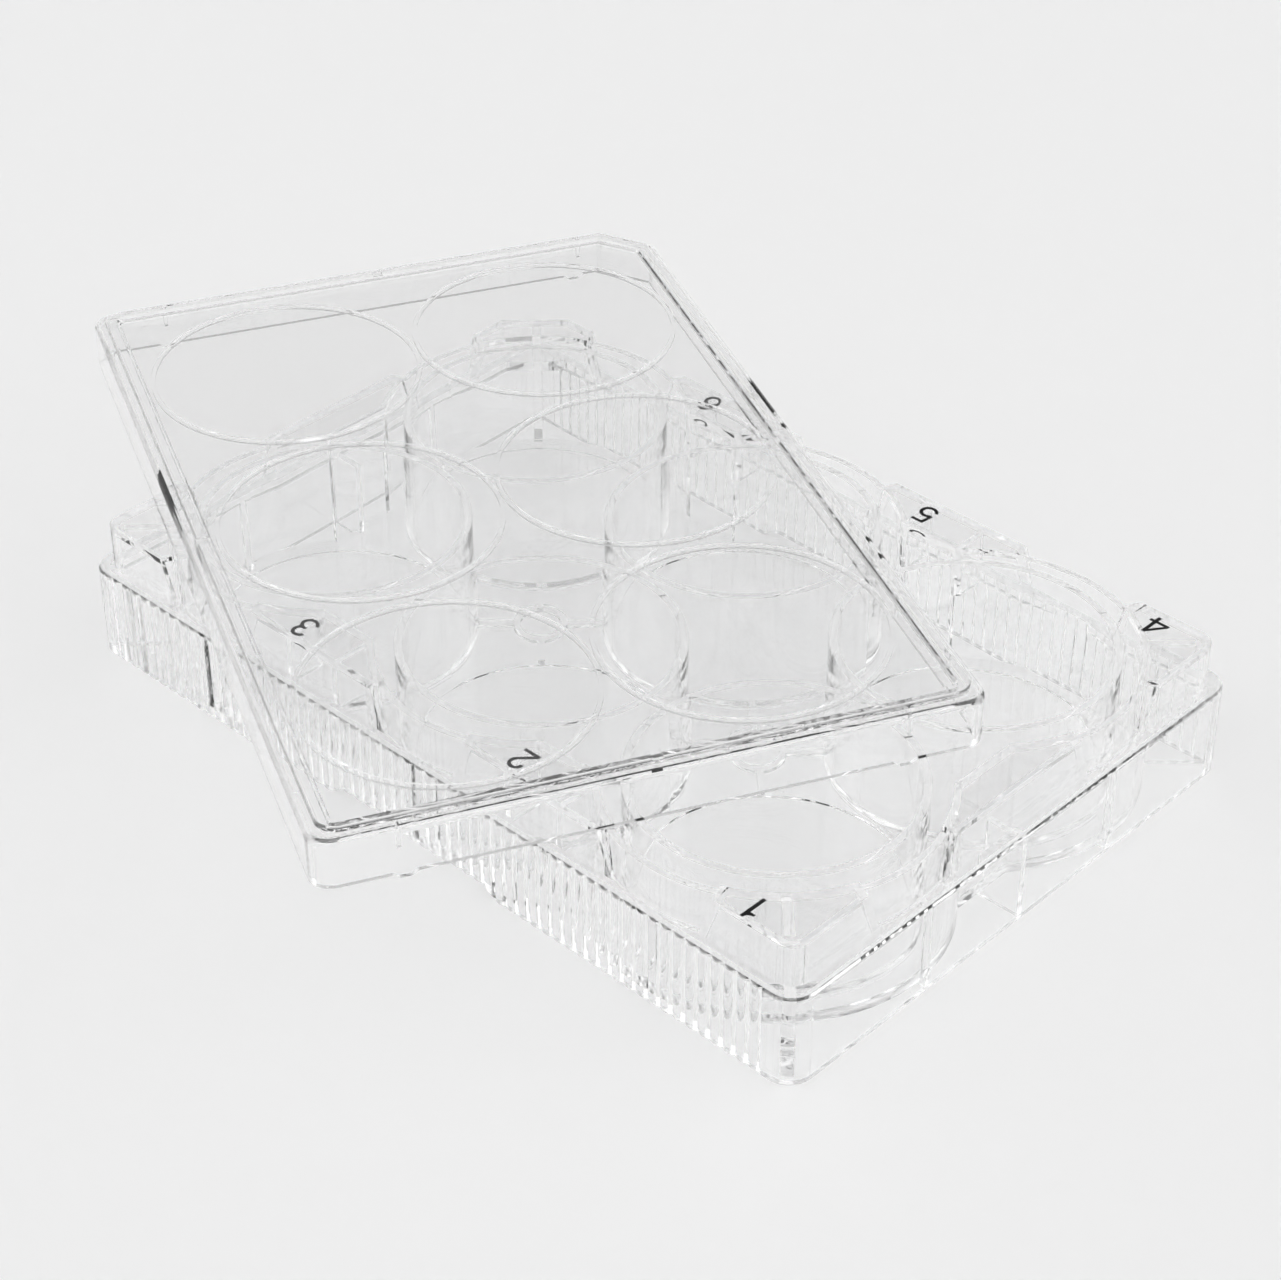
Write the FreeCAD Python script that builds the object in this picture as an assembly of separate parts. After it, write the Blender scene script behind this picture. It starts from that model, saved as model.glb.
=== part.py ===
import FreeCAD, Part
import math
import os

# Culture plate with free-standing wells and a loose lid laid askew on top of it.
# Millimetres. The origin is the middle of the tray's footprint, on the plane it
# stands on. +X runs along the long side, +Y along the short side and +Z is up.

# ---- shared allowances -------------------------------------------------------
merge = 0.1  # how far joined shapes run into each other
overrun = 1.0  # how far a cutter runs past the face it opens

# ---- tray: base flange -------------------------------------------------------
plate_length = 127.76
plate_width = 85.48
base_corner_radius = 3.5
skirt_wall = 1.2
shelf_height = 13.2
shelf_thickness = 1.2
shelf_edge_chamfer = 0.26

# ---- tray: reeded grip on the long sides and the relief under it -------------
reed_margin = 1.3
reed_pitch = 2.0
reed_depth = 0.3
relief_half_length = 15.2
relief_height = 1.5
relief_end_slope = 2.1

# ---- tray: crown (deck areas and the scalloped moat wall) --------------------
deck_height = 19.68
deck_inset = 1.82
deck_corner_radius = 2.5
deck_corner_chamfer = 7.0
deck_thickness = 1.2
crown_wall = 1.1
corner_gap_x = 9.9
corner_gap_y = 9.0
side_gap_x = 8.7
side_gap_y = 7.3
gap_end_draft = 2.4
gap_end_depth = 2.3
gap_end_lean = 1.1

# ---- tray: wells and moat ----------------------------------------------------
columns = 3
rows = 2
well_pitch_x = 39.9
well_pitch_y = 38.2
well_mouth_radius = 17.7
well_floor_inset = 0.25
well_wall = 1.05
well_floor_top = 2.5
well_floor_thickness = 1.3
moat_width = 2.55
moat_wall = 0.9
moat_rim_drop = 0.65
moat_floor_top = 2.2
moat_floor_thickness = 1.3
moat_reach_long = 14.9
moat_reach_short = 16.3

# ---- tray: hubs between the wells and ribs under the deck ---------------------
hub_radius = 3.9
hub_wall = 0.9
hub_height = 0.8
spoke_width = 0.9
corner_rib_thickness = 1.3
side_rib_thickness = 0.9
flange_rib_inset = 1.2
side_rib_offset = 4.4
corner_rib_foot = 0.6
side_rib_foot = 0.1

# ---- lid ---------------------------------------------------------------------
lid_wall = 1.0
lid_gap_x = 0.89
lid_gap_y = 0.35
lid_corner_radius = 3.0
lid_chamfer_relief = 0.5
lid_shoulder_height = 6.9
lid_edge_radius = 1.0
lid_rim_outer_inset = 1.4
lid_rim_inner_inset = 3.1
lid_rim_height = 0.7
lid_rim_edge_radius = 0.3
lid_rim_corner_radius = 2.8
lid_panel_corner_radius = 0.9
lid_rim_inner_slope = 0.4
lid_panel_thickness = 1.0
lid_groove_outer_inset = 2.0
lid_groove_inner_inset = 3.0
lid_groove_depth = 0.55
lid_ring_outset = 1.04
lid_ring_width = 0.6
lid_ring_height = 0.5
lid_rib_from_corner = 10.5
lid_rib_thickness = 0.5
lid_rib_clearance = 0.1
lid_rib_height = 2.4
lid_foot_base = 3.1
lid_foot_tip = 1.4
lid_foot_drop = 0.56
lid_foot_from_corner = 11.0
lid_notch_width = 1.4
lid_notch_depth = 0.25

# ---- how the loose lid lies on the deck --------------------------------------
lid_turn = -26.78
lid_rest_gap = 0.0
foot_well_clearance = 0.11
foot_well_bearing = 236.07

# ---- derived sizes -----------------------------------------------------------
half_length = plate_length / 2
half_width = plate_width / 2
deck_half_x = half_length - deck_inset
deck_half_y = half_width - deck_inset
well_floor_radius = well_mouth_radius - well_floor_inset
well_outer_radius = well_mouth_radius + well_wall
moat_inner_radius = well_outer_radius + moat_width
moat_floor_bottom = moat_floor_top - moat_floor_thickness
well_floor_bottom = well_floor_top - well_floor_thickness
deck_underside = deck_height - deck_thickness
shelf_underside = shelf_height - shelf_thickness
reed_count = int((plate_length - 2 * (base_corner_radius + reed_margin)) / reed_pitch)
column_positions = [(i - (columns - 1) / 2) * well_pitch_x for i in range(columns)]
row_positions = [((rows - 1) / 2 - j) * well_pitch_y for j in range(rows)]
well_centres = [(x, y) for y in row_positions for x in column_positions]
saddle_positions = [(a + b) / 2 for a, b in zip(column_positions, column_positions[1:])]
last_column = max(column_positions)
last_row = max(row_positions)
moat_edge_x = last_column + moat_reach_short
moat_edge_y = last_row + moat_reach_long
lid_half_x = deck_half_x + lid_gap_x + lid_wall
lid_half_y = deck_half_y + lid_gap_y + lid_wall
lid_corner_chamfer = deck_corner_chamfer - lid_chamfer_relief
lid_crest_height = lid_shoulder_height + lid_rim_height
lid_panel_underside = lid_shoulder_height - lid_panel_thickness
lid_foot_y = lid_half_y - lid_foot_from_corner
lid_ring_radius = well_mouth_radius + lid_ring_outset
UP = FreeCAD.Vector(0, 0, 1)


def vec(x, y, z=0.0):
    return FreeCAD.Vector(x, y, z)


def box(x0, x1, y0, y1, z0, z1):
    """Box between two corners given in any order."""
    corner = vec(min(x0, x1), min(y0, y1), min(z0, z1))
    return Part.makeBox(abs(x1 - x0), abs(y1 - y0), abs(z1 - z0), corner)


def disc(centre, radius, z0, z1):
    """Upright cylinder about (x, y)."""
    return Part.makeCylinder(radius, z1 - z0, vec(centre[0], centre[1], z0))


def corner_arc(cx, cy, radius, start_angle):
    """Quarter arc that turns a corner of an outline anticlockwise."""
    angles = [math.radians(start_angle + step) for step in (0, 45, 90)]
    ends = [vec(cx + radius * math.cos(a), cy + radius * math.sin(a)) for a in angles]
    return Part.Arc(*ends).toShape()


def chamfer_inside(chamfer, inset):
    """Chamfer of an outline drawn in by an inset from one with the given chamfer."""
    return chamfer - inset * (2 - math.sqrt(2))


def top_edges(block, z):
    """Edges of a block that lie at one height."""
    return [e for e in block.Edges if all(abs(v.Point.z - z) < 1e-6 for v in e.Vertexes)]


def outline(half_x, half_y, radius, chamfer=0.0):
    """Rounded rectangle; a chamfer, where given, replaces the (+X, -Y) corner."""
    arcs = [
        corner_arc(half_x - radius, half_y - radius, radius, 0),
        corner_arc(-half_x + radius, half_y - radius, radius, 90),
        corner_arc(-half_x + radius, -half_y + radius, radius, 180),
    ]
    if chamfer:
        start = vec(half_x - chamfer, -half_y)
        end = vec(half_x, -half_y + chamfer)
        arcs.append(Part.makeLine(start, end))
    else:
        arcs.append(corner_arc(half_x - radius, -half_y + radius, radius, 270))
    edges = []
    for index, arc in enumerate(arcs):
        following = arcs[(index + 1) % len(arcs)]
        edges.append(arc)
        edges.append(Part.makeLine(arc.lastVertex().Point, following.firstVertex().Point))
    return Part.Wire(edges)


def slab(half_x, half_y, radius, z0, z1, chamfer=0.0):
    """Upright block with the outline of a rounded rectangle."""
    block = Part.Face(outline(half_x, half_y, radius, chamfer)).extrude(vec(0, 0, z1 - z0))
    block.translate(vec(0, 0, z0))
    return block


# ---- tray --------------------------------------------------------------------
def reeded_side(sign):
    """Edges of one long side, from one end of the flat to the other."""
    flat = half_length - base_corner_radius
    crest = sign * half_width
    valley = sign * (half_width - reed_depth)
    first = -reed_count * reed_pitch / 2
    points = [vec(-flat, crest), vec(first, crest), vec(first, valley)]
    edges = [Part.makeLine(a, b) for a, b in zip(points, points[1:])]
    for index in range(reed_count):
        start = first + index * reed_pitch
        arc = Part.Arc(
            vec(start, valley),
            vec(start + reed_pitch / 2, crest),
            vec(start + reed_pitch, valley),
        )
        edges.append(arc.toShape())
    points = [vec(-first, valley), vec(-first, crest), vec(flat, crest)]
    edges += [Part.makeLine(a, b) for a, b in zip(points, points[1:])]
    return edges


def flange_outline():
    """Base outline: round corners, plain short sides and reeded long sides."""
    flat_x = half_length - base_corner_radius
    flat_y = half_width - base_corner_radius
    edges = reeded_side(1) + reeded_side(-1)
    for angle, sx, sy in ((0, 1, 1), (90, -1, 1), (180, -1, -1), (270, 1, -1)):
        edges.append(corner_arc(sx * flat_x, sy * flat_y, base_corner_radius, angle))
    for sx in (-1, 1):
        edges.append(Part.makeLine(vec(sx * half_length, -flat_y), vec(sx * half_length, flat_y)))
    return Part.Wire(Part.__sortEdges__(edges))


def chamfered_top(half_x, half_y, radius, top, chamfer):
    """Block that trims the top edge of whatever it is intersected with."""
    block = slab(half_x, half_y, radius, 0, top)
    return block.makeChamfer(chamfer, top_edges(block, top))


def relief(sign):
    """Shallow opening under the middle of one long side."""
    long_half = relief_half_length
    short_half = relief_half_length - relief_end_slope
    points = [
        vec(-long_half, 0, 0),
        vec(long_half, 0, 0),
        vec(short_half, 0, relief_height),
        vec(-short_half, 0, relief_height),
        vec(-long_half, 0, 0),
    ]
    cutter = Part.Face(Part.makePolygon(points)).extrude(vec(0, sign * 4 * skirt_wall, 0))
    cutter.translate(vec(0, sign * (half_width - 2 * skirt_wall), 0))
    return cutter


def flange():
    """Skirt with its narrow shelf, open underneath."""
    block = Part.Face(flange_outline()).extrude(vec(0, 0, shelf_height))
    trim = chamfered_top(
        half_length, half_width, base_corner_radius, shelf_height, shelf_edge_chamfer
    )
    block = block.common(trim)
    inside_x = half_length - skirt_wall
    inside_y = half_width - skirt_wall - reed_depth
    inside_radius = base_corner_radius - skirt_wall
    block = block.cut(slab(inside_x, inside_y, inside_radius, 0, shelf_underside))
    return block.cut(relief(1)).cut(relief(-1))


def corner_block(sx, sy, wall, z0, z1):
    """Deck block over one corner; it is wider at the shelf than at the deck."""
    edge_x = sx * (deck_half_x - wall)
    edge_y = sy * (deck_half_y - wall)
    well_x = sx * last_column
    well_y = sy * last_row
    wires = []
    for z in (z0, z1):
        spread = gap_end_draft * (deck_height - z) / (deck_height - shelf_height) - wall
        end_x = well_x + sx * (corner_gap_x - spread)
        end_y = well_y + sy * (corner_gap_y - spread)
        points = [
            vec(edge_x, edge_y, z),
            vec(end_x, edge_y, z),
            vec(end_x - sx * gap_end_lean, edge_y - sy * gap_end_depth, z),
            vec(well_x, well_y, z),
            vec(edge_x - sx * gap_end_depth, end_y - sy * gap_end_lean, z),
            vec(edge_x, end_y, z),
            vec(edge_x, edge_y, z),
        ]
        wires.append(Part.makePolygon(points))
    return Part.makeLoft(wires, True, True)


def side_block(centre, edge, half_top, depth, along_x, wall, z0, z1):
    """Deck block in the middle of a side, between two wells."""
    sign = 1 if edge > 0 else -1
    outer = edge - sign * wall
    wires = []
    for z in (z0, z1):
        spread = gap_end_draft * (deck_height - z) / (deck_height - shelf_height) - wall
        half = half_top + spread
        pairs = [
            (-half, outer),
            (half, outer),
            (half + gap_end_lean, outer - sign * gap_end_depth),
            (half_top - gap_end_depth, outer - sign * depth),
            (-half_top + gap_end_depth, outer - sign * depth),
            (-half - gap_end_lean, outer - sign * gap_end_depth),
        ]
        if along_x:
            points = [vec(centre + a, b, z) for a, b in pairs]
        else:
            points = [vec(b, centre + a, z) for a, b in pairs]
        wires.append(Part.makePolygon(points + points[:1]))
    return Part.makeLoft(wires, True, True)


def deck_blocks(wall, z0, z1):
    """All the deck blocks, drawn in by a wall thickness where one is given."""
    blocks = [corner_block(sx, sy, wall, z0, z1) for sx in (-1, 1) for sy in (-1, 1)]
    long_half = well_pitch_x / 2 - side_gap_x
    long_depth = deck_half_y - moat_edge_y + 2 * moat_wall
    for centre in saddle_positions:
        for edge in (-deck_half_y, deck_half_y):
            block = side_block(centre, edge, long_half, long_depth, True, wall, z0, z1)
            blocks.append(block)
    short_half = well_pitch_y / 2 - side_gap_y
    short_depth = deck_half_x - moat_edge_x + 2 * moat_wall
    for edge in (-deck_half_x, deck_half_x):
        block = side_block(0, edge, short_half, short_depth, False, wall, z0, z1)
        blocks.append(block)
    fused = blocks[0].multiFuse(blocks[1:])
    bounds = slab(
        deck_half_x - wall,
        deck_half_y - wall,
        deck_corner_radius - wall,
        z0,
        z1,
        chamfer_inside(deck_corner_chamfer, wall),
    )
    return fused.common(bounds)


def moat_column(grow, z0, z1):
    """Space shared by the six moats, grown outward by the given amount."""
    parts = [disc(centre, moat_inner_radius + grow, z0, z1) for centre in well_centres]
    reach_x = moat_edge_x + grow
    reach_y = moat_edge_y + grow
    parts.append(box(-last_column, last_column, -reach_y, reach_y, z0, z1))
    parts.append(box(-reach_x, reach_x, -last_row, last_row, z0, z1))
    return parts[0].multiFuse(parts[1:])


def crown():
    """Deck areas standing on the shelf, hollow below, and the moat's outer wall."""
    shell = deck_blocks(0, shelf_underside, deck_height)
    pockets = deck_blocks(crown_wall, shelf_underside - overrun, deck_underside)
    outer = moat_column(moat_wall, moat_floor_bottom, deck_height - moat_rim_drop)
    pockets = pockets.cut(outer)
    shell = shell.cut(pockets).fuse(outer)
    return shell.cut(moat_column(0, moat_floor_top, deck_height + overrun)), pockets


def well(centre):
    """One free-standing well with its floor."""
    body = disc(centre, well_outer_radius, well_floor_bottom, deck_height)
    depth = deck_height - well_floor_top
    base = vec(centre[0], centre[1], well_floor_top)
    return body.cut(Part.makeCone(well_floor_radius, well_mouth_radius, depth, base))


def hub(centre_x):
    """Ring and four spokes on the moat floor where four wells meet."""
    top = moat_floor_top + hub_height
    sunk = moat_floor_top - moat_floor_thickness / 2
    ring = disc((centre_x, 0), hub_radius, sunk, top)
    diagonal = math.hypot(well_pitch_x, well_pitch_y) / 2
    reach = diagonal - well_outer_radius + well_wall / 2
    angle = math.degrees(math.atan2(well_pitch_y, well_pitch_x))
    for direction in (angle, 180 - angle, 180 + angle, -angle):
        spoke = box(0, reach, -spoke_width / 2, spoke_width / 2, sunk, top)
        spoke.rotate(vec(0, 0, 0), UP, direction)
        spoke.translate(vec(centre_x, 0, 0))
        ring = ring.fuse(spoke)
    bore = disc((centre_x, 0), hub_radius - hub_wall, moat_floor_top, top + overrun)
    return ring.cut(bore)


def corner_rib(sx, sy):
    """Diagonal web from the moat wall into one corner of the skirt and deck."""
    start = moat_inner_radius + moat_wall / 2
    to_edge = min(half_width - last_row, half_length - last_column)
    low = math.sqrt(2) * (to_edge - skirt_wall)
    high = math.sqrt(2) * (to_edge - deck_inset - crown_wall) - crown_wall
    half = corner_rib_thickness / 2
    web = box(start, low, -half, half, corner_rib_foot, shelf_underside + merge)
    web = web.fuse(box(start, high, -half, half, shelf_underside, deck_underside + merge))
    web.rotate(vec(0, 0, 0), UP, math.degrees(math.atan2(sy, sx)))
    web.translate(vec(sx * last_column, sy * last_row, 0))
    return web


def short_side_ribs(sx):
    """Webs under the shelf that tie the moat wall to one short side of the skirt."""
    half = side_rib_thickness / 2
    outer = sx * (half_length - skirt_wall / 2)
    middle = sx * (moat_edge_x + moat_wall / 2)
    near = sx * (last_column + moat_inner_radius)
    webs = [box(middle, outer, -half, half, side_rib_foot, shelf_underside + merge)]
    for sy in (-1, 1):
        y = sy * (last_row - flange_rib_inset)
        webs.append(box(near, outer, y - half, y + half, side_rib_foot, shelf_height - merge))
    return webs


def long_side_ribs(sy):
    """Pairs of webs inside the side deck blocks of one long side."""
    half = side_rib_thickness / 2
    inner = sy * (moat_edge_y + moat_wall / 2)
    outer = sy * (deck_half_y - crown_wall / 2)
    top = deck_underside + merge
    webs = []
    for centre in saddle_positions:
        for x in (centre - side_rib_offset, centre + side_rib_offset):
            webs.append(box(x - half, x + half, inner, outer, shelf_underside, top))
    return webs


def tray():
    """The whole one-piece tray."""
    shell, pockets = crown()
    base = flange().cut(moat_column(0, moat_floor_top, shelf_height + overrun))
    base = base.cut(pockets)
    pieces = [shell]
    pieces += [hub(x) for x in saddle_positions]
    pieces += [corner_rib(sx, sy) for sx in (-1, 1) for sy in (-1, 1)]
    for sign in (-1, 1):
        pieces += short_side_ribs(sign) + long_side_ribs(sign)
    body = base.multiFuse(pieces)
    for centre in well_centres:
        body = body.cut(disc(centre, well_outer_radius, 0, deck_height))
    body = body.multiFuse([well(centre) for centre in well_centres])
    return body.removeSplitter()


# ---- lid ---------------------------------------------------------------------
def lid_outline(inset, radius, z):
    """Outline of the lid drawn in by an inset, at a height."""
    chamfer = chamfer_inside(lid_corner_chamfer, inset)
    wire = outline(lid_half_x - inset, lid_half_y - inset, radius, chamfer)
    wire.translate(vec(0, 0, z))
    return wire


def lid_block(inset, radius, z0, z1):
    """Upright block over the lid's outline drawn in by an inset."""
    return Part.Face(lid_outline(inset, radius, z0)).extrude(vec(0, 0, z1 - z0))


def rounded_top(block, z, radius):
    """Block with every edge of its top face rounded."""
    return block.makeFillet(radius, top_edges(block, z))


def lid_recess():
    """Space inside the raised rim, down to the panel's top."""
    bottom_inset = lid_rim_inner_inset + lid_rim_inner_slope
    bottom = lid_outline(bottom_inset, lid_panel_corner_radius, lid_shoulder_height)
    top = lid_outline(lid_rim_inner_inset, lid_panel_corner_radius, lid_crest_height)
    return Part.makeLoft([bottom, top], True, True)


def lid_groove():
    """Shallow groove under the raised rim that keeps its wall even."""
    top = lid_panel_underside + lid_groove_depth
    outer_radius = lid_corner_radius - lid_groove_outer_inset
    groove = lid_block(lid_groove_outer_inset, outer_radius, lid_panel_underside, top)
    island_radius = lid_panel_corner_radius
    island = lid_block(lid_groove_inner_inset, island_radius, lid_panel_underside, top)
    return groove.cut(island)


def lid_shell():
    """Skirt, rounded shoulder, raised rim and flat panel."""
    body = lid_block(0, lid_corner_radius, 0, lid_shoulder_height)
    body = rounded_top(body, lid_shoulder_height, lid_edge_radius)
    rim = lid_block(
        lid_rim_outer_inset, lid_rim_corner_radius, lid_panel_underside, lid_crest_height
    )
    body = body.fuse(rounded_top(rim, lid_crest_height, lid_rim_edge_radius))
    inside = lid_block(lid_wall, lid_corner_radius - lid_wall, 0, lid_panel_underside)
    return body.cut(lid_recess()).cut(inside).cut(lid_groove())


def lid_rings():
    """Condensation rings under the panel, one over each well."""
    low = lid_panel_underside - lid_ring_height
    high = lid_panel_underside + merge
    rings = []
    for centre in well_centres:
        ring = disc(centre, lid_ring_radius + lid_ring_width / 2, low, high)
        rings.append(ring.cut(disc(centre, lid_ring_radius - lid_ring_width / 2, low, high)))
    return rings


def lid_ribs():
    """Short locating ribs inside the skirt, two to a side, just clear of the deck."""
    top = lid_panel_underside + merge
    low = lid_panel_underside - lid_rib_height
    half = lid_rib_thickness / 2
    out_x = lid_half_x - lid_wall / 2
    out_y = lid_half_y - lid_wall / 2
    in_x = deck_half_x + lid_rib_clearance
    in_y = deck_half_y + lid_rib_clearance
    ribs = []
    for sx in (-1, 1):
        for sy in (-1, 1):
            x = sx * (lid_half_x - lid_rib_from_corner)
            y = sy * (lid_half_y - lid_rib_from_corner)
            ribs.append(box(sx * in_x, sx * out_x, y - half, y + half, low, top))
            ribs.append(box(x - half, x + half, sy * in_y, sy * out_y, low, top))
    return ribs


def lid_foot(sx, sy):
    """One small tapered foot below a short side of the skirt."""
    y = sy * lid_foot_y
    points = [
        vec(0, y - lid_foot_base / 2, 0),
        vec(0, y + lid_foot_base / 2, 0),
        vec(0, y + lid_foot_tip / 2, -lid_foot_drop),
        vec(0, y - lid_foot_tip / 2, -lid_foot_drop),
    ]
    profile = Part.Face(Part.makePolygon(points + points[:1]))
    foot = profile.extrude(vec(-sx * lid_wall, 0, 0))
    foot.translate(vec(sx * lid_half_x, 0, 0))
    return foot


def lid_notches():
    """Shallow marks across the raised rim at the middle of each side."""
    low = lid_crest_height - lid_notch_depth
    high = lid_crest_height + overrun
    half = lid_notch_width / 2
    depth = lid_rim_inner_inset + overrun
    cuts = []
    for sign in (-1, 1):
        out_x = sign * lid_half_x
        out_y = sign * lid_half_y
        cuts.append(box(sign * (lid_half_x - depth), out_x, -half, half, low, high))
        cuts.append(box(-half, half, sign * (lid_half_y - depth), out_y, low, high))
    return cuts


def lay_askew(body):
    """Turn the lid and set it down with one foot hanging in the mouth of a well."""
    reach = well_mouth_radius - lid_foot_base / 2 - foot_well_clearance
    bearing = math.radians(foot_well_bearing)
    target = vec(
        -last_column + reach * math.cos(bearing),
        last_row + reach * math.sin(bearing),
        deck_height + lid_rest_gap,
    )
    turn = FreeCAD.Rotation(UP, lid_turn)
    foot = turn.multVec(vec(-lid_half_x + lid_wall / 2, -lid_foot_y))
    body.rotate(vec(0, 0, 0), UP, lid_turn)
    body.translate(target - foot)
    return body


def lid():
    """The whole one-piece lid, laid askew with its skirt resting on the deck."""
    body = lid_shell()
    for notch in lid_notches():
        body = body.cut(notch)
    feet = [lid_foot(sx, sy) for sx in (-1, 1) for sy in (-1, 1)]
    body = body.multiFuse(lid_rings() + lid_ribs() + feet).removeSplitter()
    return lay_askew(body)


def export(name, shape):
    """Write one piece as a STEP file named after its node."""
    shape.exportStep(os.path.join("parts", name + ".step"))


export("tray", tray())
export("lid", lid())
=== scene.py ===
"""A clear six-well culture plate with its lid lying askew on it: looks, light and camera."""
import math

import bmesh
import bpy
from mathutils import Matrix, Vector
from mathutils.geometry import tessellate_polygon


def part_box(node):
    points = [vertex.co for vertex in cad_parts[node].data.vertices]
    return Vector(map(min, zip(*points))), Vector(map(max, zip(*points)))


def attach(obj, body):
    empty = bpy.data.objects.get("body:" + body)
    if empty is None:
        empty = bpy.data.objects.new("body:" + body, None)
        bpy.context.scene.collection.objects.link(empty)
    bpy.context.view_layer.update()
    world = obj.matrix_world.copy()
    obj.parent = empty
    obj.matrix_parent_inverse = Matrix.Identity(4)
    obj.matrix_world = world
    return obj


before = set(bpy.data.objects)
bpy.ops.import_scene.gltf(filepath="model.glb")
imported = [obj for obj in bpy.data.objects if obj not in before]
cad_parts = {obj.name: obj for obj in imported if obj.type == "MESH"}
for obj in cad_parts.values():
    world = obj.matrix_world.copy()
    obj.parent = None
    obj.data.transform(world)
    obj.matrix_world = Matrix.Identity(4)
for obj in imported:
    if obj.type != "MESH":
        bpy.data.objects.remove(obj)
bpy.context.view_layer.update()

MM = 0.001

# ---- camera: the photo's viewing angle ---------------------------------------
VIEW_TARGET = Vector((10.135, -9.686, 0.0)) * MM
VIEW_AZIMUTH = 133.739
VIEW_ELEVATION = 35.693
VIEW_ROLL = 0.06
VIEW_DISTANCE = 414.477 * MM
LENS = 84.01
SENSOR_WIDTH = 36.0
CLIP_START = 0.01
CLIP_END = 20.0

# ---- light -------------------------------------------------------------------
SKY_LOW = 0.70              # the light tent is a little darker near the horizon
SKY_HIGH = 0.98
SKY_RISE = (0.20, 0.62)     # sines of the elevations between which it brightens
# direction seen from the plate, added brightness, cosines where the patch begins and is full
SKY_PATCHES = (
    ((0.62, -0.65, 0.48), -0.48, 0.80, 0.98),   # dim wall beyond the plate
    ((-0.62, -0.60, 0.45), 0.40, 0.80, 0.97),   # soft box to the right of the camera's view
    ((0.62, 0.60, 0.45), 0.30, 0.80, 0.97),     # weaker one to the left
)
BACKDROP_LEVEL = 0.865      # what the camera sees beyond the floor
BACKDROP_TOP = (0.20, 0.30)     # sines of the elevations between which glass and gloss lose sight of it
BOUNCES = 56                # light caught in the plastic's edges is dropped after these, as if absorbed
DIFFUSE_BOUNCES = 3
NOISE_THRESHOLD = 0.1
LEAST_SAMPLES = 8

# ---- floor -------------------------------------------------------------------
FLOOR_COLOUR = (0.890, 0.890, 0.890, 1.0)
FLOOR_HALF_WIDTH = 3.0
FLOOR_CELLS = 8
FLOOR_DROP = 0.1 * MM       # keeps the floor clear of the faces that stand on it

# ---- clear plastic -----------------------------------------------------------
REFRACTIVE_INDEX = 1.59
CLOUD_SCALE = 60.0          # broad, soft variation over a moulding
CLOUD_TINT = ((0.992, 0.993, 0.994, 1.0), (1.0, 1.0, 1.0, 1.0))
CLOUD_ROUGHNESS = (0.0, 0.02)
WAVE_STRENGTH = 0.008
WAVE_DEPTH = 0.5 * MM

# ---- ink ---------------------------------------------------------------------
INK_OVER = 0.02 * MM        # the ink's top stands this far above the deck
INK_UNDER = 0.01 * MM       # and its underside is keyed this far into it
DECK_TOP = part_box("tray")[1].z
SPECK_SCALE = 6000.0
SPECK_DETAIL = 2.0
SPECK_TONES = ((0.002, 0.002, 0.002, 1.0), (0.008, 0.008, 0.009, 1.0))
SPECK_ROUGHNESS = (0.45, 0.70)
INK_SPECULAR = 0.2

scene = bpy.context.scene


# ---- node helpers ------------------------------------------------------------
def node(tree, kind, **values):
    """A new node with these properties."""
    made = tree.nodes.new(kind)
    for key, value in values.items():
        setattr(made, key, value)
    return made


def noise(tree, scale, detail=0.0):
    """Soft noise in the object's own coordinates; its value output."""
    coords = node(tree, "ShaderNodeTexCoord")
    made = node(tree, "ShaderNodeTexNoise")
    made.inputs["Scale"].default_value = scale
    made.inputs["Detail"].default_value = detail
    tree.links.new(coords.outputs["Object"], made.inputs["Vector"])
    return made.outputs["Fac"]


def blended(tree, value, colours):
    """A colour that runs from the first to the second as the value goes from 0 to 1."""
    made = node(tree, "ShaderNodeValToRGB")
    for element, colour in zip(made.color_ramp.elements, colours):
        element.color = colour
    tree.links.new(value, made.inputs["Fac"])
    return made.outputs["Color"]


def mapped(tree, value, to, source=(0.0, 1.0), shape="LINEAR"):
    """The value carried from the source's range to the other."""
    made = node(tree, "ShaderNodeMapRange", interpolation_type=shape)
    made.inputs["From Min"].default_value, made.inputs["From Max"].default_value = source
    made.inputs["To Min"].default_value, made.inputs["To Max"].default_value = to
    tree.links.new(value, made.inputs["Value"])
    return made.outputs["Result"]


def combined(tree, operation, first, second, clamp=False):
    """Two values added or multiplied."""
    made = node(tree, "ShaderNodeMath", operation=operation, use_clamp=clamp)
    tree.links.new(first, made.inputs[0])
    tree.links.new(second, made.inputs[1])
    return made.outputs["Value"]


# ---- materials ---------------------------------------------------------------
def new_material(name, shader_kind):
    """A material with this one shader, its node tree and the shader."""
    material = bpy.data.materials.new(name)
    material.use_nodes = True
    tree = material.node_tree
    tree.nodes.clear()
    out = node(tree, "ShaderNodeOutputMaterial")
    shader = node(tree, shader_kind)
    tree.links.new(shader.outputs["BSDF"], out.inputs["Surface"])
    return material, tree, shader


def clear_plastic(name):
    """Polished clear polystyrene, greyer where light crosses it often, with a faint moulding texture."""
    material, tree, shader = new_material(name, "ShaderNodeBsdfPrincipled")
    shader.inputs["Transmission Weight"].default_value = 1.0
    shader.inputs["IOR"].default_value = REFRACTIVE_INDEX
    cloud = noise(tree, CLOUD_SCALE)
    tree.links.new(blended(tree, cloud, CLOUD_TINT), shader.inputs["Base Color"])
    tree.links.new(mapped(tree, cloud, CLOUD_ROUGHNESS), shader.inputs["Roughness"])
    bump = node(tree, "ShaderNodeBump")
    bump.inputs["Strength"].default_value = WAVE_STRENGTH
    bump.inputs["Distance"].default_value = WAVE_DEPTH
    tree.links.new(cloud, bump.inputs["Height"])
    tree.links.new(bump.outputs["Normal"], shader.inputs["Normal"])
    return material


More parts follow.
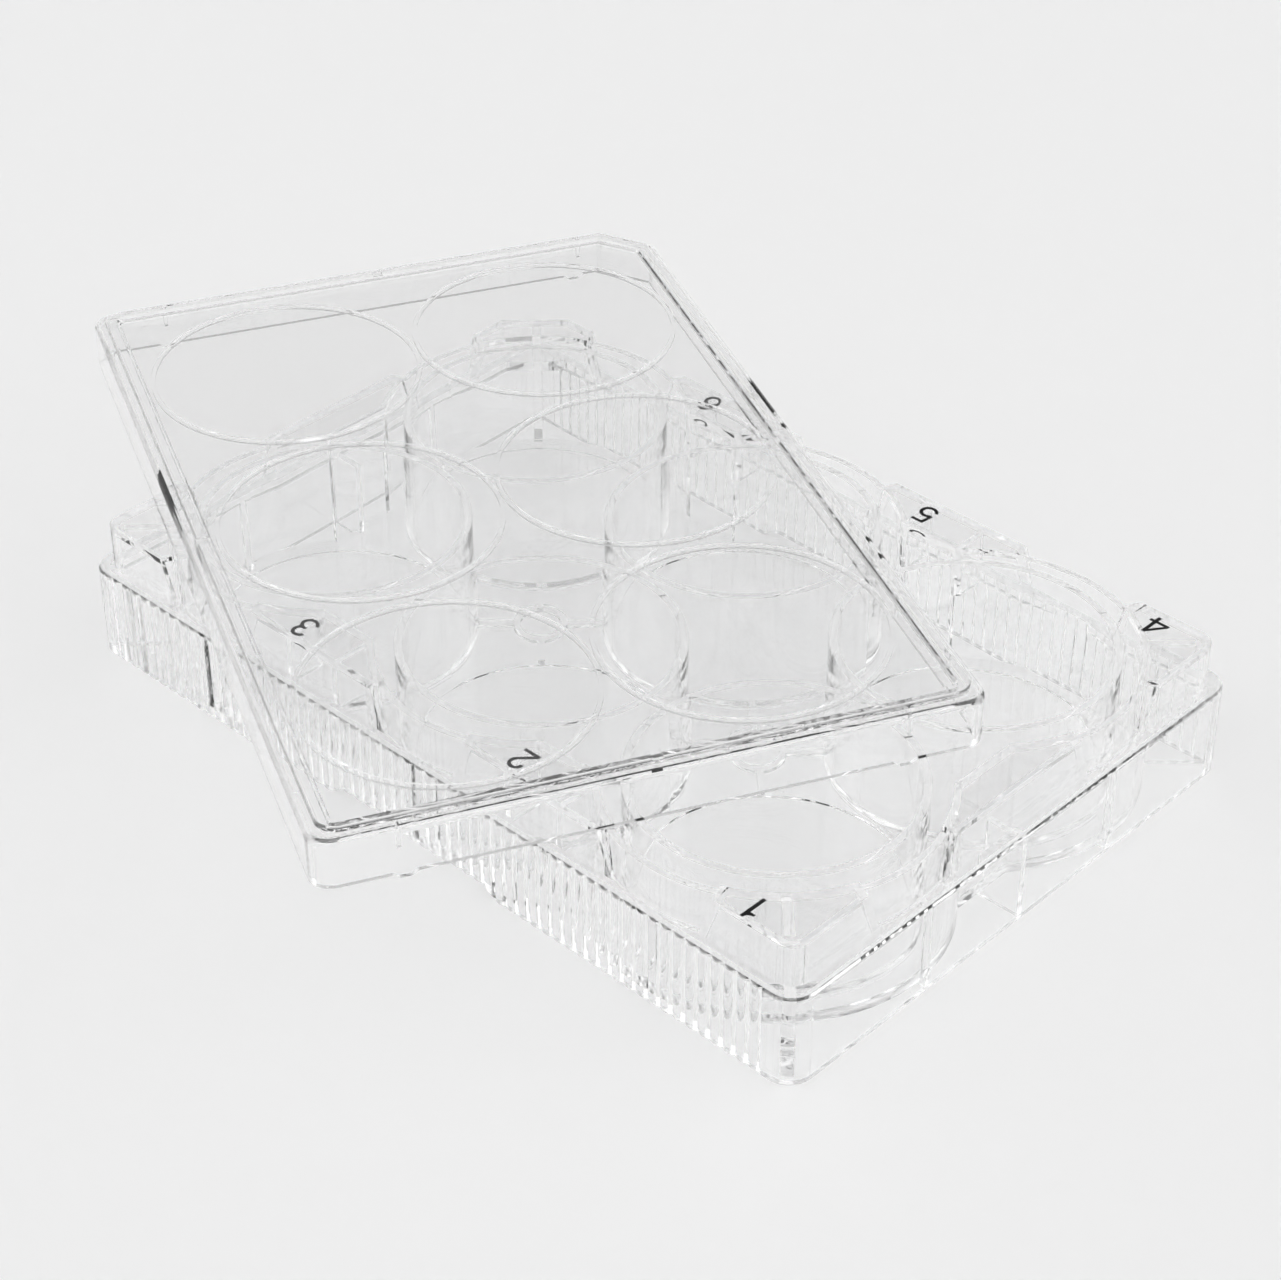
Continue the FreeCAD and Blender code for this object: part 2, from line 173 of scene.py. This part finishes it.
def printed_ink(name):
    """Black pad-printed ink, a little uneven in tone and gloss."""
    material, tree, shader = new_material(name, "ShaderNodeBsdfPrincipled")
    shader.inputs["Specular IOR Level"].default_value = INK_SPECULAR
    speck = noise(tree, SPECK_SCALE, SPECK_DETAIL)
    tree.links.new(blended(tree, speck, SPECK_TONES), shader.inputs["Base Color"])
    tree.links.new(mapped(tree, speck, SPECK_ROUGHNESS), shader.inputs["Roughness"])
    return material


def paper(name):
    """Plain pale floor."""
    material, _, shader = new_material(name, "ShaderNodeBsdfDiffuse")
    shader.inputs["Color"].default_value = FLOOR_COLOUR
    return material


def finish_mouldings():
    """Gives the tray and the lid their clear plastic."""
    for name in ("tray", "lid"):
        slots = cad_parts[name].data.materials
        plastic = clear_plastic(name + "_plastic")
        for i in range(len(slots)):
            slots[i] = plastic


# ---- new pieces --------------------------------------------------------------
def placed(name, bm, material):
    """An object made from a bmesh, which it frees."""
    mesh = bpy.data.meshes.new(name)
    bm.to_mesh(mesh)
    bm.free()
    mesh.materials.append(material)
    made = bpy.data.objects.new(name, mesh)
    scene.collection.objects.link(made)
    return made


def arc(cx, cy, rx, ry, start, end, steps=20):
    """Points on an upright ellipse's arc, in mm, from one angle to another in degrees."""
    angles = (math.radians(start + (end - start) * i / steps) for i in range(steps + 1))
    return [(cx + rx * math.cos(t), cy + ry * math.sin(t)) for t in angles]


# Each numeral is a list of closed outlines in mm about its own middle: the outer one, then any hole.
NUMERALS = {
    "1": [[(-0.27, -2.0), (0.27, -2.0), (0.27, 2.0), (-0.14, 2.0)]
          + arc(-1.1, 2.02, 0.92, 0.86, -12, -90, 10) + [(-1.1, 0.80), (-0.27, 0.80)]],
    "2": [arc(0.14, 0.85, 1.13, 1.13, 188, -40, 34)
          + [(-0.58, -1.48), (1.28, -1.48), (1.28, -1.96), (-1.3, -1.96), (-1.3, -1.52), (-1.22, -1.40)]
          + arc(0.14, 0.85, 0.62, 0.64, -44, 186, 30)],
    "3": [arc(-0.03, 0.92, 1.18, 1.12, 168, -36, 26) + arc(0.0, -0.83, 1.32, 1.21, 42, -168, 30)
          + arc(0.0, -0.83, 0.80, 0.71, -162, 84, 30) + [(-0.32, -0.12), (-0.32, 0.31)]
          + arc(-0.03, 0.92, 0.66, 0.62, -78, 164, 26)],
    "4": [[(0.36, -1.98), (0.88, -1.98), (0.88, -1.10), (1.46, -1.10), (1.46, -0.64), (0.88, -0.64),
           (0.88, 1.98), (0.42, 1.98), (-1.46, -0.66), (-1.46, -1.10), (0.36, -1.10)],
          [(0.36, -0.64), (0.36, 1.10), (-0.92, -0.64)]],
    "5": [[(-0.98, 1.98), (-1.22, -0.14), (-0.74, -0.20)] + arc(-0.04, -0.74, 0.80, 0.76, 138, -160, 30)
          + arc(-0.02, -0.74, 1.32, 1.27, -166, 120, 34) + [(-0.56, 1.50), (1.0, 1.50), (1.0, 1.98)]],
    "6": [arc(0.04, 0.0, 1.33, 2.0, 36, 270, 44) + arc(0.03, -0.72, 1.29, 1.28, -88, 128, 36)
          + arc(0.10, 0.1, 0.86, 1.42, 166, 36, 22),
          arc(0.0, -0.72, 0.76, 0.78, 0, 350, 35)],
}
NUMERAL_CENTRES = {"1": (-53.95, 38.77), "2": (-16.2, 38.4), "3": (23.45, 38.4),
                   "4": (-54.35, -37.8), "5": (-16.44, -37.63), "6": (23.5, -37.9)}


def ink_film(outlines, centre):
    """A thin closed film on the deck with these outlines."""
    loops = [[Vector(((centre[0] + x) * MM, (centre[1] + y) * MM, 0.0)) for x, y in loop]
             for loop in outlines]
    bm = bmesh.new()
    low = [bm.verts.new((p.x, p.y, DECK_TOP - INK_UNDER)) for loop in loops for p in loop]
    high = [bm.verts.new((p.x, p.y, DECK_TOP + INK_OVER)) for loop in loops for p in loop]
    for corners in tessellate_polygon(loops):
        for layer in (low, high):
            bm.faces.new([layer[i] for i in corners])
    first = 0
    for loop in loops:
        for i in range(len(loop)):
            a, b = first + i, first + (i + 1) % len(loop)
            bm.faces.new((low[a], low[b], high[b], high[a]))
        first += len(loop)
    bmesh.ops.recalc_face_normals(bm, faces=bm.faces)
    return bm


def print_numbers():
    """Prints each well's number on the deck beside it."""
    ink = printed_ink("ink")
    for digit, outlines in NUMERALS.items():
        film = placed("number_" + digit, ink_film(outlines, NUMERAL_CENTRES[digit]), ink)
        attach(film, "root")


def lay_floor():
    """A wide pale floor under the plate."""
    bm = bmesh.new()
    bmesh.ops.create_grid(bm, x_segments=FLOOR_CELLS, y_segments=FLOOR_CELLS, size=FLOOR_HALF_WIDTH)
    floor = placed("floor", bm, paper("floor_paper"))
    floor.location.z = -FLOOR_DROP


# ---- light tent --------------------------------------------------------------
def tent_level(tree, towards, height):
    """The tent's brightness in each direction."""
    level = mapped(tree, height, (SKY_LOW, SKY_HIGH), SKY_RISE, "SMOOTHSTEP")
    for middle, gain, edge, core in SKY_PATCHES:
        nearness = node(tree, "ShaderNodeVectorMath", operation="DOT_PRODUCT")
        nearness.inputs[1].default_value = Vector(middle).normalized()
        tree.links.new(towards, nearness.inputs[0])
        patch = mapped(tree, nearness.outputs["Value"], (0.0, gain), (edge, core), "SMOOTHSTEP")
        level = combined(tree, "ADD", level, patch)
    return level


def backdrop_share(tree, height):
    """1 where the backdrop shows instead of the tent: to the camera, and low down to glass and gloss."""
    path = node(tree, "ShaderNodeLightPath")
    clear = combined(tree, "ADD", path.outputs["Is Glossy Ray"], path.outputs["Is Transmission Ray"])
    band = mapped(tree, height, (1.0, 0.0), BACKDROP_TOP, "SMOOTHSTEP")
    low = combined(tree, "MULTIPLY", clear, band)
    return combined(tree, "ADD", low, path.outputs["Is Camera Ray"], clamp=True)


def hang_tent():
    """Soft white light from all round, and a plain backdrop."""
    world = bpy.data.worlds.new("studio")
    world.use_nodes = True
    scene.world = world
    tree = world.node_tree
    tree.nodes.clear()
    out = node(tree, "ShaderNodeOutputWorld")
    background = node(tree, "ShaderNodeBackground")
    towards = node(tree, "ShaderNodeTexCoord").outputs["Generated"]
    split = node(tree, "ShaderNodeSeparateXYZ")
    tree.links.new(towards, split.inputs["Vector"])
    height = split.outputs["Z"]
    shown = node(tree, "ShaderNodeMix")
    shown.inputs["B"].default_value = BACKDROP_LEVEL
    tree.links.new(tent_level(tree, towards, height), shown.inputs["A"])
    tree.links.new(backdrop_share(tree, height), shown.inputs["Factor"])
    tree.links.new(shown.outputs["Result"], background.inputs["Color"])
    tree.links.new(background.outputs["Background"], out.inputs["Surface"])


# ---- camera and render settings ----------------------------------------------
def camera_place():
    """Faces the target from the photo's direction and distance, rolled about the line of sight."""
    azimuth, elevation, roll = (math.radians(v) for v in (VIEW_AZIMUTH, VIEW_ELEVATION, VIEW_ROLL))
    away = Vector((math.cos(elevation) * math.cos(azimuth), math.cos(elevation) * math.sin(azimuth),
                   math.sin(elevation)))
    level_right = Vector((0.0, 0.0, 1.0)).cross(away).normalized()
    level_up = away.cross(level_right)
    right = math.cos(roll) * level_right + math.sin(roll) * level_up
    up = math.cos(roll) * level_up - math.sin(roll) * level_right
    turn = Matrix((right, up, away)).transposed().to_4x4()
    return Matrix.Translation(VIEW_TARGET + away * VIEW_DISTANCE) @ turn


def set_camera():
    """The photo's camera."""
    data = bpy.data.cameras.new("camera")
    data.lens = LENS
    data.sensor_fit = "HORIZONTAL"
    data.sensor_width = SENSOR_WIDTH
    data.clip_start = CLIP_START
    data.clip_end = CLIP_END
    camera = bpy.data.objects.new("camera", data)
    camera.matrix_world = camera_place()
    scene.collection.objects.link(camera)
    scene.camera = camera


def set_light_paths():
    """Follows light through many walls of plastic, caustics included and no reflection blurred."""
    cycles = scene.cycles
    cycles.max_bounces = BOUNCES
    cycles.transmission_bounces = BOUNCES
    cycles.glossy_bounces = BOUNCES
    cycles.diffuse_bounces = DIFFUSE_BOUNCES
    cycles.caustics_reflective = True
    cycles.caustics_refractive = True
    cycles.blur_glossy = 0.0
    cycles.use_denoising = True
    cycles.use_adaptive_sampling = True
    cycles.adaptive_threshold = NOISE_THRESHOLD
    cycles.adaptive_min_samples = LEAST_SAMPLES


finish_mouldings()
print_numbers()
lay_floor()
hang_tent()
set_camera()
set_light_paths()
scene.view_settings.view_transform = "Standard"
